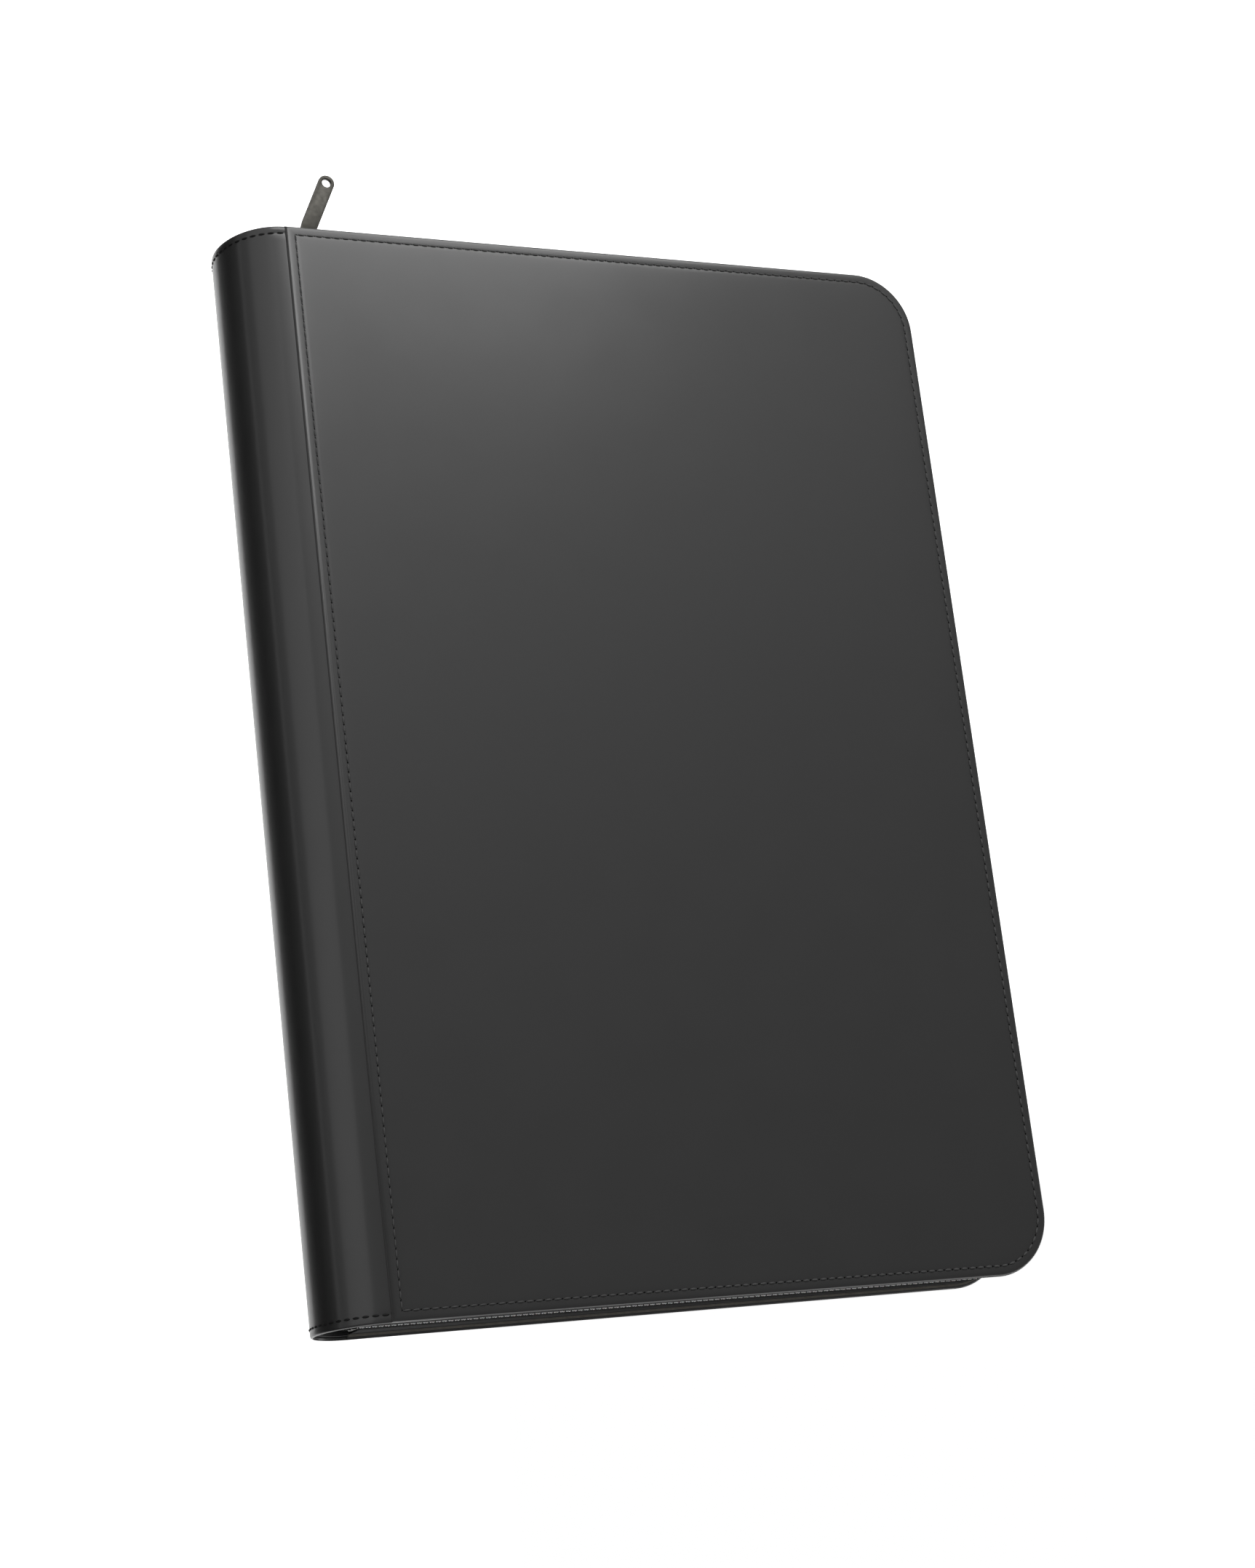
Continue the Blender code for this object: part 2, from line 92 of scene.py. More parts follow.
def newMaterial(name, **sockets):
    made = bpy.data.materials.new(name)
    made.use_nodes = True
    shader = made.node_tree.nodes["Principled BSDF"]
    for socket, value in sockets.items():
        shader.inputs[socket.replace("_", " ")].default_value = value
    return made, made.node_tree, shader


def wireUp(tree, shader, **outputs):
    for socket, output in outputs.items():
        tree.links.new(output, shader.inputs[socket.replace("_", " ")])


# Polyurethane-coated fabric, calendered smooth: a satin skin with a very fine pebble
satin = {"pebble": 0.45 * mm, "mottle": 18 * mm, "depth": 0.012 * mm}


def pebbleBump(tree, place):
    pebble = addNode(tree, "ShaderNodeTexVoronoi", {"Vector": place, "Scale": 1 / satin["pebble"]},
                     feature="SMOOTH_F1")
    return addNode(tree, "ShaderNodeBump", {
        "Height": pebble.outputs["Distance"], "Distance": satin["depth"], "Strength": 0.35,
    })


satinPu, tree, shader = newMaterial(
    "satinPolyurethane", Base_Color=colour("1b1b1b"), IOR=1.5, Sheen_Weight=0.05,
    Coat_Weight=0.5, Coat_Roughness=0.2, Coat_IOR=1.5,
)
place = addNode(tree, "ShaderNodeTexCoord").outputs["Object"]
mottle = addNode(tree, "ShaderNodeTexNoise", {"Vector": place, "Scale": 1 / satin["mottle"], "Detail": 3.0})
rough = addNode(tree, "ShaderNodeMapRange", {
    "Value": mottle.outputs["Fac"], "From Min": 0.3, "From Max": 0.7, "To Min": 0.48, "To Max": 0.53,
})
bump = pebbleBump(tree, place)
wireUp(tree, shader, Roughness=rough.outputs["Result"], Normal=bump.outputs["Normal"])

# The same fabric without its top lacquer, as on the walls beside the zip: dull
dullPu, tree, shader = newMaterial(
    "dullPolyurethane", Base_Color=colour("1a1a1a"), Roughness=0.75, Specular_IOR_Level=0.15,
)
place = addNode(tree, "ShaderNodeTexCoord").outputs["Object"]
bump = pebbleBump(tree, place)
wireUp(tree, shader, Normal=bump.outputs["Normal"])

# A wave texture of scale 1 repeats after this many metres, and a diagonal one after twice as many
# along each axis
waveRepeat = math.pi / 10

# Spun polyester sewing thread, twisted: its turns show 1.2 mm apart
threadTwist = 0.6 * mm


def newThread(name, shade):
    made, tree, shader = newMaterial(
        name, Base_Color=colour(shade), Roughness=0.6, Specular_IOR_Level=0.15,
    )
    place = addNode(tree, "ShaderNodeTexCoord").outputs["Object"]
    twist = addNode(tree, "ShaderNodeTexWave", {"Vector": place, "Scale": waveRepeat / threadTwist},
                    bands_direction="DIAGONAL")
    bump = addNode(tree, "ShaderNodeBump", {
        "Height": twist.outputs["Fac"], "Distance": 0.05 * mm, "Strength": 0.4,
    })
    wireUp(tree, shader, Normal=bump.outputs["Normal"])
    return made


greyThread = newThread("greyPolyesterThread", "484848")
blackThread = newThread("blackPolyesterThread", "161616")

# A flat dark disc where the needle's hole is in the coated fabric: painted shade, as only shade shows in a
# hole
paintedHoleShade = newMaterial(
    "paintedHoleShade", Base_Color=colour("070707"), Roughness=0.9, Specular_IOR_Level=0.1,
)[0]


# Plain weave: pale where two crossing sets of threads both rise. Each set: its direction, and its sway
def newWeave(name, thread, sets, shades, relief, strength, **sockets):
    made, tree, shader = newMaterial(name, **sockets)
    place = addNode(tree, "ShaderNodeTexCoord").outputs["Object"]
    waves = [
        addNode(tree, "ShaderNodeTexWave",
                {"Vector": place, "Scale": waveRepeat / thread, "Distortion": sway},
                bands_direction=direction)
        for direction, sway in sets
    ]
    weave = addNode(tree, "ShaderNodeMath", {n: wave.outputs["Fac"] for n, wave in enumerate(waves)},
                    operation="MULTIPLY")
    dark, pale = shades
    shade = addNode(tree, "ShaderNodeMix", {
        "Factor": weave.outputs["Value"], 6: colour(dark), 7: colour(pale),
    }, data_type="RGBA")
    bump = addNode(tree, "ShaderNodeBump", {
        "Height": weave.outputs["Value"], "Distance": relief, "Strength": strength,
    })
    wireUp(tree, shader, Base_Color=shade.outputs[2], Normal=bump.outputs["Normal"])
    return made


# Narrow woven polyester zip tape, drawn coarse so that it shows: 1 mm along the tape, 0.5 mm across it
zipTapeWeave = newWeave(
    "wovenPolyesterTape", thread=0.5 * mm, sets=(("DIAGONAL", 0.4), ("Z", 0)),
    shades=("121212", "2c2c2c"), relief=0.12 * mm, strength=0.6,
    Roughness=0.85, Sheen_Weight=0.05, Specular_IOR_Level=0.1,
)

# Plain-woven polyester lining, drawn with a 0.6 mm thread spacing so that it shows
liningWeave = newWeave(
    "wovenPolyesterLining", thread=0.6 * mm, sets=(("X", 0), ("Y", 0)),
    shades=("141415", "2a2a2c"), relief=0.08 * mm, strength=0.5,
    Roughness=0.82, Sheen_Weight=0.2, Specular_IOR_Level=0.3,
)

# Nylon of the zip's teeth, moulded and made pale grey so that the row shows as light dots: a translucent
# sheen
teethNylon = newMaterial(
    "mouldedNylon", Base_Color=colour("c9c9c9"), Roughness=0.35, IOR=1.53,
    Subsurface_Weight=0.1, Subsurface_Scale=0.5 * mm,
)[0]

# Zinc die casting plated gunmetal: smooth, dark and slightly warm
wearGrain = 1.5 * mm
gunmetal, tree, shader = newMaterial(
    "gunmetalPlatedZinc", Base_Color=colour("373633"), Metallic=1.0,
)
place = addNode(tree, "ShaderNodeTexCoord").outputs["Object"]
wear = addNode(tree, "ShaderNodeTexNoise", {"Vector": place, "Scale": 1 / wearGrain, "Detail": 4.0})
rough = addNode(tree, "ShaderNodeMapRange", {
    "Value": wear.outputs["Fac"], "From Min": 0.3, "From Max": 0.7, "To Min": 0.30, "To Max": 0.42,
})
wireUp(tree, shader, Roughness=rough.outputs["Result"])

# Grey cardboard of the covers, pressed from waste paper: soft flecks
fleckSize = 2 * mm
greyBoard, tree, shader = newMaterial("pressedGreyboard", Roughness=0.9, Specular_IOR_Level=0.2)
place = addNode(tree, "ShaderNodeTexCoord").outputs["Object"]
fleck = addNode(tree, "ShaderNodeTexNoise", {"Vector": place, "Scale": 1 / fleckSize, "Detail": 5.0})
shade = addNode(tree, "ShaderNodeMix", {
    "Factor": fleck.outputs["Fac"], 6: colour("6f6c66"), 7: colour("99958d"),
}, data_type="RGBA")
wireUp(tree, shader, Base_Color=shade.outputs[2])

# Clear cast polypropylene film over a black backing sheet: clear gloss with slow ripples
filmRipple = {"length": 35 * mm, "height": 1.2 * mm}
clearFilm, tree, shader = newMaterial(
    "clearPolypropyleneOverBlack", Base_Color=colour("141416"), Roughness=0.32, IOR=1.49,
    Coat_Weight=1.0, Coat_Roughness=0.06, Coat_IOR=1.49,
)
place = addNode(tree, "ShaderNodeTexCoord").outputs["Object"]
ripple = addNode(tree, "ShaderNodeTexNoise", {
    "Vector": place, "Scale": 1 / filmRipple["length"], "Detail": 1.0,
})
bump = addNode(tree, "ShaderNodeBump", {
    "Height": ripple.outputs["Fac"], "Distance": filmRipple["height"], "Strength": 0.25,
})
tree.links.new(bump.outputs["Normal"], shader.inputs["Coat Normal"])

# The same film where it is welded through: pressed into a frosted square knurl
weldKnurl = 0.9 * mm
weldedFilm, tree, shader = newMaterial(
    "weldedPolypropylene", Base_Color=colour("26262a"), Roughness=0.5, IOR=1.49,
)
place = addNode(tree, "ShaderNodeTexCoord").outputs["Object"]
knurl = addNode(tree, "ShaderNodeTexChecker", {"Vector": place, "Scale": 1 / weldKnurl})
bump = addNode(tree, "ShaderNodeBump", {
    "Height": knurl.outputs["Fac"], "Distance": 0.08 * mm, "Strength": 0.6,
})
wireUp(tree, shader, Normal=bump.outputs["Normal"])

# The pages' welded edges, stacked and bound: fine layers one above the other
filmLayer = 1.1 * mm
filmEdges, tree, shader = newMaterial(
    "stackedPolypropyleneEdges", Base_Color=colour("202023"), Roughness=0.45, IOR=1.49,
)
place = addNode(tree, "ShaderNodeTexCoord").outputs["Object"]
layers = addNode(tree, "ShaderNodeTexWave", {"Vector": place, "Scale": waveRepeat / filmLayer},
                 bands_direction="Z")
bump = addNode(tree, "ShaderNodeBump", {
    "Height": layers.outputs["Fac"], "Distance": 0.3 * mm, "Strength": 0.8,
})
wireUp(tree, shader, Normal=bump.outputs["Normal"])
print("materials made")


# Modelling helpers

def deselectAll():
    if bpy.context.object and bpy.context.object.mode != "OBJECT":
        bpy.ops.object.mode_set(mode="OBJECT")
    bpy.ops.object.select_all(action="DESELECT")


def activate(piece):
    deselectAll()
    piece.select_set(True)
    bpy.context.view_layer.objects.active = piece


def pick(piece, kind, test):
    activate(piece)
    bpy.ops.object.mode_set(mode="EDIT")
    bpy.ops.mesh.select_mode(type=kind)
    bpy.ops.mesh.select_all(action="DESELECT")
    bpy.ops.object.mode_set(mode="OBJECT")
    mesh = piece.data
    if kind == "VERT":
        for vertex in mesh.vertices:
            vertex.select = test(vertex.co)
    elif kind == "EDGE":
        for edge in mesh.edges:
            edge.select = test(*[mesh.vertices[n].co for n in edge.vertices])
    else:
        for face in mesh.polygons:
            face.select = test(face.center, face.normal)
    bpy.ops.object.mode_set(mode="EDIT")


def pickAll(piece, kind):
    pick(piece, kind, lambda *place: True)


def applyPlace(piece):
    activate(piece)
    bpy.ops.object.transform_apply(location=True, rotation=True, scale=True)


def shape(piece, kind, **settings):
    activate(piece)
    modifier = piece.modifiers.new(kind.lower(), kind)
    for name, value in settings.items():
        setattr(modifier, name, value)
    bpy.ops.object.modifier_apply(modifier=modifier.name)


def smooth(piece, angle):
    activate(piece)
    bpy.ops.object.shade_smooth_by_angle(angle=math.radians(angle), keep_sharp_edges=False)


def faceOutwards(piece):
    pickAll(piece, "FACE")
    bpy.ops.mesh.remove_doubles(threshold=hair)
    bpy.ops.mesh.normals_make_consistent(inside=False)
    bpy.ops.object.mode_set(mode="OBJECT")


# Turns an open sheet's faces away from a point
def faceFrom(piece, point):
    face = max(piece.data.polygons, key=lambda polygon: polygon.area)
    if face.normal.dot(face.center - Vector(point)) < 0:
        pickAll(piece, "FACE")
        bpy.ops.mesh.flip_normals()
        bpy.ops.object.mode_set(mode="OBJECT")


# Moves a finished mesh to its place and gives it its finish
def settle(piece, place, finish=None):
    piece.data.transform(place)
    piece.data.update()
    if finish:
        piece.data.materials.append(finish)


def joinAll(pieces, name):
    activate(pieces[0])
    for piece in pieces[1:]:
        piece.select_set(True)
    bpy.ops.object.join()
    joined = bpy.context.object
    joined.name = name
    joined.data.name = name
    return joined


def discard(piece):
    bpy.data.objects.remove(piece)


# A flat sheet in a cover's outline, inset all round
def coverSheet(name, inset):
    size = (binder["width"] - 2 * inset, binder["height"] - 2 * inset)
    bpy.ops.mesh.primitive_plane_add(size=1, location=(binder["width"] / 2, 0, 0))
    piece = bpy.context.object
    piece.name = name
    piece.scale = (*size, 1)
    applyPlace(piece)
    pick(piece, "VERT", lambda co: co.x > binder["width"] / 2)
    bpy.ops.mesh.bevel(offset=binder["cornerRadius"] - inset, segments=binder["cornerSteps"],
                       affect="VERTICES")
    bpy.ops.object.mode_set(mode="OBJECT")
    return piece


# The outline along foot, opening edge and head as a bare line, open at the spine
def bandRun(name, inset, footStart, headStart):
    piece = coverSheet(name, inset)
    pickAll(piece, "FACE")
    bpy.ops.mesh.delete(type="ONLY_FACE")
    pick(piece, "EDGE", lambda a, b: max(a.x, b.x) < inset + hair)
    bpy.ops.mesh.delete(type="EDGE")
    bpy.ops.object.mode_set(mode="OBJECT")
    for vertex in piece.data.vertices:
        if vertex.co.x < inset + hair:
            vertex.co.x = headStart if vertex.co.y > 0 else footStart
    return piece


def runLength(piece):
    ends = [[piece.data.vertices[n].co for n in edge.vertices] for edge in piece.data.edges]
    return sum((a - b).length for a, b in ends)


# Repeats a small shape along a line, a whole number of times, and bends it to the line
def alongLine(unit, line, pitch, upright=False):
    length = runLength(line)
    count = max(1, round(length / pitch))
    activate(line)
    bpy.ops.object.convert(target="CURVE")
    path = bpy.context.object
    path.data.dimensions = "3D"
    path.data.twist_mode = "Z_UP"
    ends = [path.data.splines[0].points[n].co for n in (0, -1)]
    if upright and ends[0].y > ends[1].y:  # the line has to run from -y to +y
        bpy.ops.object.mode_set(mode="EDIT")
        bpy.ops.curve.select_all(action="SELECT")
        bpy.ops.curve.switch_direction()
        bpy.ops.object.mode_set(mode="OBJECT")
    shape(unit, "ARRAY", count=count, use_relative_offset=False, use_constant_offset=True,
          constant_offset_displace=(length / count, 0, 0))
    shape(unit, "CURVE", object=path, deform_axis="POS_X")
    discard(path)
    return unit


# One lock stitch: a short bar of thread, thinner at its ends, and before it a dark disc of painted shade for
# the needle hole
stitch = {
    "pitch": 3.0 * mm,
    "length": 2.1 * mm,
    "thread": 0.75 * mm,
    "flattening": 0.8,
    "rise": 0.12,  # how far the bar's middle lies above the skin, as a share of the thread
    # The needle hole is a dark disc of painted shade: its width, and how far above the skin it lies
    "hole": 0.6 * mm,
    "holeRise": 0.02 * mm,
}


def newStitch(name, thread):
    bpy.ops.mesh.primitive_uv_sphere_add(segments=8, ring_count=6, radius=0.5)
    bar = bpy.context.object
    bar.rotation_euler = (0, math.pi / 2, 0)
    applyPlace(bar)
    bar.scale = (stitch["length"], stitch["thread"], stitch["thread"] * stitch["flattening"])
    bar.location = (stitch["pitch"] / 2, 0, stitch["thread"] * stitch["rise"])
    applyPlace(bar)
    bar.data.materials.append(thread)
    bar.data.materials.append(paintedHoleShade)
    # The needle hole: a flat disc just above the skin, painted dark as painted shade
    bpy.ops.mesh.primitive_circle_add(vertices=8, radius=stitch["hole"] / 2, fill_type="NGON",
                                      location=(0, 0, stitch["holeRise"]))
    hole = bpy.context.object
    applyPlace(hole)
    hole.data.materials.append(thread)
    hole.data.materials.append(paintedHoleShade)
    hole.data.polygons[0].material_index = 1
    return joinAll([bar, hole], name)


# Cover panels: coated fabric turned over the board and padded, so that it falls to the row of stitches
panel = {
    "stitchInset": 3.2 * mm,
    # distance in from the edge, and depth under the outer face
    "rim": [(0, 1.7), (0.2, 0.9), (0.5, 0.38), (0.9, 0.21), (1.6, 0.16), (2.6, 0.15), (3.0, 0.18),
            (3.2, 0.19), (3.4, 0.18), (3.8, 0.13), (4.6, 0.10), (6, 0.07), (9, 0.04), (13, 0.01), (17, 0)],
    # each step of the edge as it turns under: how far in from the last, and how far down
    "underside": [(0.1, 0.5), (0.5, 0.4), (0.9, 0.15), (6.0, 0)],
}


def coverPanel(side, place):
    piece = coverSheet(f"{side}_cover_panel", 0)
    rim = panel["rim"]
    pickAll(piece, "FACE")
    bpy.ops.transform.translate(value=(0, 0, -rim[0][1] * mm))
    for (near, high), (far, low) in zip(rim, rim[1:]):
        bpy.ops.mesh.inset(thickness=(far - near) * mm, depth=(high - low) * mm,
                           use_even_offset=True, use_boundary=True)
    lowest = -rim[0][1] * mm
    onRim = lambda a, b: max(abs(a.z - lowest), abs(b.z - lowest)) < hair
    pick(piece, "EDGE", onRim)
    depth = rim[0][1] * mm
    for inset, down in panel["underside"]:
        bpy.ops.mesh.extrude_region_move(TRANSFORM_OT_translate={"value": (0, 0, -down * mm)})
        depth += down * mm
        shrink = [1 - 2 * inset * mm / size for size in (binder["width"], binder["height"])]
        bpy.ops.transform.resize(value=(*shrink, 1), center_override=(binder["width"] / 2, 0, -depth))
    bpy.ops.mesh.edge_face_add()
    bpy.ops.object.mode_set(mode="OBJECT")
    faceOutwards(piece)
    smooth(piece, 60)
    settle(piece, place, satinPu)
    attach(piece, f"{side}_cover")
    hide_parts(f"{side}_outer_panel")


def panelStitches(side, place):
    line = coverSheet(f"{side}_stitch_line", panel["stitchInset"])
    pickAll(line, "FACE")
    bpy.ops.mesh.delete(type="ONLY_FACE")
    bpy.ops.object.mode_set(mode="OBJECT")
    row = alongLine(newStitch(f"{side}_panel_stitches", greyThread), line, stitch["pitch"])
    smooth(row, 60)
    depth = next(down for inset, down in panel["rim"] if inset * mm >= panel["stitchInset"] - hair)
    settle(row, place @ Matrix.Translation((0, 0, -depth * mm)))
    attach(row, f"{side}_cover")


for side, place in covers.items():
    coverPanel(side, place)
    panelStitches(side, place)
print("cover panels made")


# Spine: one bent skin of coated fabric with a lining, in lengths, one across each hinge
spine = {
    "recess": 1.0 * mm,
    "bulge": 16 * mm,
    "turnSteps": 1440,
    "skin": 0.8 * mm,
    "liningDepth": (0.9 * mm, 2.4 * mm),
    "flange": 2.5 * mm,
    "joins": [0, 0.1, 0.3, 0.5, 0.7, 0.9, 1],
    "foldShift": 1.5 * mm,  # how far onto a cover the ends worked out for the first and last lengths are moved
    "liningInset": 1.2 * mm,
    "stitchFromEnd": 2.5 * mm,
    "stitchDepth": 0.12 * mm,
    # distance from the end of the spine, and depth: the turned edge and the channel of the stitches
    "end": [(0, 0.8), (0.08, 0.4), (0.3, 0.12), (0.7, 0), (1.7, 0), (2.2, 0.05), (2.5, 0.08),
            (2.8, 0.05), (3.4, 0.01), (5, 0)],
}
spineRise = binder["spineThickness"] / 2 - spine["recess"]
spineCentre = spineRise * math.sin(halfWedge)
spineReach = spine["bulge"] + spineCentre
spineHalf = spineRise * math.cos(halfWedge)


def spinePoint(turn, depth=0):
    return Vector((spineCentre - (spineReach - depth) * math.sin(turn), 0,
                   -(spineHalf - depth) * math.cos(turn)))


def spineTurns():
    step = 2 * math.pi / spine["turnSteps"]
    points = [spinePoint(n * step) for n in range(spine["turnSteps"] // 2 + 1)]
    lengths = [0]
    for a, b in zip(points, points[1:]):
        lengths.append(lengths[-1] + (b - a).length)
    nearest = lambda share: min(range(len(points)), key=lambda n: abs(lengths[n] - share * lengths[-1]))
    return [nearest(share) * step for share in spine["joins"]]


joinTurns = spineTurns()


def spineArc(name, low, high, depth):
    bpy.ops.mesh.primitive_circle_add(vertices=spine["turnSteps"], radius=1,
                                      rotation=(math.pi / 2, 0, 0))
    piece = bpy.context.object
    piece.name = name
    piece.scale = (spineReach - depth, spineHalf - depth, 1)
    piece.location = (spineCentre, 0, 0)
    applyPlace(piece)
    slack = math.pi / spine["turnSteps"] / 2

    def outside(co):
        turn = math.atan2((spineCentre - co.x) / (spineReach - depth), -co.z / (spineHalf - depth))
        return not low - slack <= turn <= high + slack

    pick(piece, "VERT", outside)
    bpy.ops.mesh.delete(type="VERT")
    bpy.ops.object.mode_set(mode="OBJECT")
    return piece


# Runs the first and last lengths in under the edge of the cover panel
def addFlange(piece, number):
    if number not in (0, len(joinTurns) - 2):
        return
    side = -1 if number == 0 else 1
    last = max(piece.data.vertices, key=lambda vertex: vertex.co.z * side).index
    pick(piece, "VERT", lambda co: (co - piece.data.vertices[last].co).length < hair)
    reach = spine["flange"]
    bpy.ops.mesh.extrude_region_move(TRANSFORM_OT_translate={
        "value": (reach * math.cos(halfWedge), 0, -side * reach * math.sin(halfWedge))})
    bpy.ops.object.mode_set(mode="OBJECT")


# Pulls an arc of the spine along y in steps of (y, depth)
def pullAlong(piece, steps):
    pickAll(piece, "VERT")
    bpy.ops.transform.translate(value=(0, steps[0][0], 0))
    before = 0
    for n, (y, depth) in enumerate(steps):
        if n:
            bpy.ops.mesh.extrude_region_move(
                TRANSFORM_OT_translate={"value": (0, y - steps[n - 1][0], 0)})
        shrinkX = (spineReach - depth) / (spineReach - before)
        shrinkZ = (spineHalf - depth) / (spineHalf - before)
        bpy.ops.transform.resize(value=(shrinkX, 1, shrinkZ), center_override=(spineCentre, y, 0))
        before = depth
    bpy.ops.object.mode_set(mode="OBJECT")


# Works out a length's two ends and bakes its place into its mesh
def bendAcross(piece, number):
    low, high = joinTurns[number], joinTurns[number + 1]
    start, end = spinePoint(low), spinePoint(high)
    if number == 0:
        start = start + Vector((spine["foldShift"], 0, 0))
    if number == len(joinTurns) - 2:
        end = end + Vector((spine["foldShift"], 0, 0))
    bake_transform(piece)


# One row's stitches on one length of the spine, standing out from the skin
def spineStitches(number, side):
    line = spineArc("spine_stitch_line", *joinTurns[number:number + 2], spine["stitchDepth"])
    line.data.transform(Matrix.Rotation(-math.pi / 2, 4, "X"))
    unit = newStitch("spine_stitches", blackThread)
    unit.data.transform(Matrix.Rotation(-math.pi / 2, 4, "X"))
    row = alongLine(unit, line, stitch["pitch"], upright=True)
    place = Matrix.Translation((0, side * (halfHeight - spine["stitchFromEnd"]), 0))
    row.data.transform(place @ Matrix.Rotation(math.pi / 2, 4, "X"))
    return row


def spineLength(number):
    turns = joinTurns[number:number + 2]
    piece = spineArc(f"spine_skin_{number}", *turns, 0)
    addFlange(piece, number)
    foot = [(-halfHeight + y * mm, depth * mm) for y, depth in spine["end"]]
    pullAlong(piece, foot + [(-y, depth) for y, depth in reversed(foot)])
    faceFrom(piece, (0, 0, 0))
    shape(piece, "SOLIDIFY", thickness=spine["skin"], offset=-1, use_even_offset=True)
    smooth(piece, 50)
    piece.data.materials.append(satinPu)
    rows = [spineStitches(number, side) for side in (-1, 1)]
    skin = joinAll([piece, *rows], f"spine_skin_{number}")
    settle(skin, middlePlace)

    high, low = spine["liningDepth"]
    lining = spineArc(f"spine_inner_lining_{number}", *turns, high)
    edge = halfHeight - spine["liningInset"]
    pullAlong(lining, [(-edge, 0), (edge, 0)])
    faceFrom(lining, (0, 0, 0))
    shape(lining, "SOLIDIFY", thickness=low - high, offset=-1, use_even_offset=True)
    smooth(lining, 50)
    settle(lining, middlePlace, liningWeave)

    if number:
        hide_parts(f"spine_wrap_{number}")
        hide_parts(f"spine_lining_{number}")
    bendAcross(skin, number)
    bendAcross(lining, number)


for number in range(len(joinTurns) - 1):
    spineLength(number)
print("spine made")


# End webs: soft half-moons with rounded edges that close the hollow of the spine
endWeb = {
    "inset": 3.4 * mm,
    "depth": 2.6 * mm,
    "flatSide": -0.3 * mm,
    "flat": (13.1 * mm, 36.9 * mm),
    "thickness": 0.7 * mm,
    "edge": 0.3 * mm,
    "flattest": math.radians(1.5),  # steps of the arc that turn less than this are joined
}


def endWebPiece(name, head):
    reach = math.asin((spineCentre - endWeb["flatSide"]) / (spineReach - endWeb["depth"]))
    piece = spineArc(f"{name}_fabric", reach, math.pi - reach, endWeb["depth"])
    shape(piece, "DECIMATE", decimate_type="DISSOLVE", angle_limit=endWeb["flattest"])
    pickAll(piece, "VERT")
    bpy.ops.mesh.edge_face_add()
    bpy.ops.object.mode_set(mode="OBJECT")
    faceFrom(piece, (0, 1, 0))
    shape(piece, "SOLIDIFY", thickness=endWeb["thickness"], offset=-1)
    shape(piece, "BEVEL", width=endWeb["edge"], segments=3, limit_method="ANGLE")
    smooth(piece, 50)
    place = middlePlace @ (halfTurn if head else Matrix())
    settle(piece, place @ Matrix.Translation((0, endWeb["inset"] - halfHeight, 0)), satinPu)
    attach(piece, name)
    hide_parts(name)


for name, head in (("spine_end_web_foot", False), ("spine_end_web_head", True)):
    endWebPiece(name, head)
print("end webs made")


# Zip band on each cover: gusset wall with a turned edge, woven tape with a raised rib, and teeth
band = {
    "inset": 1.5 * mm,
    "start": 0.5 * mm,
    "wall": 0.7 * mm,
    "wallTop": 2.4 * mm,
    "wallEnd": 8.3 * mm,
    # share of the wall's height, and how far it bows in: the turned edge and the row beside it
    "wallRows": [(0, 0), (0.5, 0.02), (0.78, 0.05), (0.84, 0.14), (0.88, 0.05), (0.95, 0), (0.99, 0.12),
                 (1.0, 0.35)],
    "stopEdge": 0.3 * mm,
    "tapeInset": 1.5 * mm,
    "tape": 0.5 * mm,
    "tapeStart": -5 * mm,
    # height from the middle plane, and how far the tape lies in
    "tapeRows": [(8.8, 0.76), (8.3, 0.74), (7.6, 0.35), (7.0, 0.05), (5.2, 0), (4.9, -0.15), (4.3, -0.18),
                 (4.0, 0), (0.7, 0)],
}
teeth = {
    "inset": 1.75 * mm,
    "footStart": -3.2 * mm,
    "headStart": 18.6 * mm,
    "pitch": 2.0 * mm,
    "size": (0.62 * mm, 1.0 * mm, 1.1 * mm),
    "reach": -0.25 * mm,
    "bevel": 0.2 * mm,
}
halves = {"back": (middlePlace, 1), "front": (middlePlace @ halfTurn, -1)}


# Pulls a line along the band downwards in steps of (z, inset)
def pullDown(piece, steps):
    pickAll(piece, "VERT")
    bpy.ops.transform.translate(value=(0, 0, steps[0][0]))
    before = 0
    for n, (z, inset) in enumerate(steps):
        if n:
            bpy.ops.mesh.extrude_region_move(
                TRANSFORM_OT_translate={"value": (0, 0, z - steps[n - 1][0])})
        sizes = (binder["width"], binder["height"])
        shrink = [(size - 2 * inset) / (size - 2 * before) for size in sizes]
        bpy.ops.transform.resize(value=(*shrink, 1), center_override=(binder["width"] / 2, 0, z))
        before = inset
    bpy.ops.object.mode_set(mode="OBJECT")


def gussetWall(side, place):
    name = f"{side}_gusset_wall"
    piece = bandRun(f"{name}_fabric", band["inset"], band["start"], band["start"])
    pullDown(piece, [(-share, bow * mm) for share, bow in band["wallRows"]])
    for vertex in piece.data.vertices:  # the wall is as high as the wedge leaves it
        lowest = binder["spineThickness"] / 2 - vertex.co.x * math.tan(halfWedge)
        lowest -= band["wallEnd"] / math.cos(halfWedge)
        vertex.co.z = -band["wallTop"] + vertex.co.z * (lowest - band["wallTop"])
    faceFrom(piece, (binder["width"] / 2, 0, 0))
    shape(piece, "SOLIDIFY", thickness=band["wall"], offset=-1)
    smooth(piece, 50)
    settle(piece, place, dullPu)
    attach(piece, f"{side}_cover")
    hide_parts(name)


def zipTape(side, place):
    name = f"{side}_zip_tape"
    piece = bandRun(f"{name}_weave", band["tapeInset"], band["tapeStart"], band["tapeStart"])
    pullDown(piece, [(-z * mm, inset * mm) for z, inset in band["tapeRows"]])
    faceFrom(piece, (binder["width"] / 2, 0, 0))
    shape(piece, "SOLIDIFY", thickness=band["tape"], offset=-1)
    smooth(piece, 40)
    settle(piece, place, zipTapeWeave)
    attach(piece, f"{side}_cover")
    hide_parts(name)


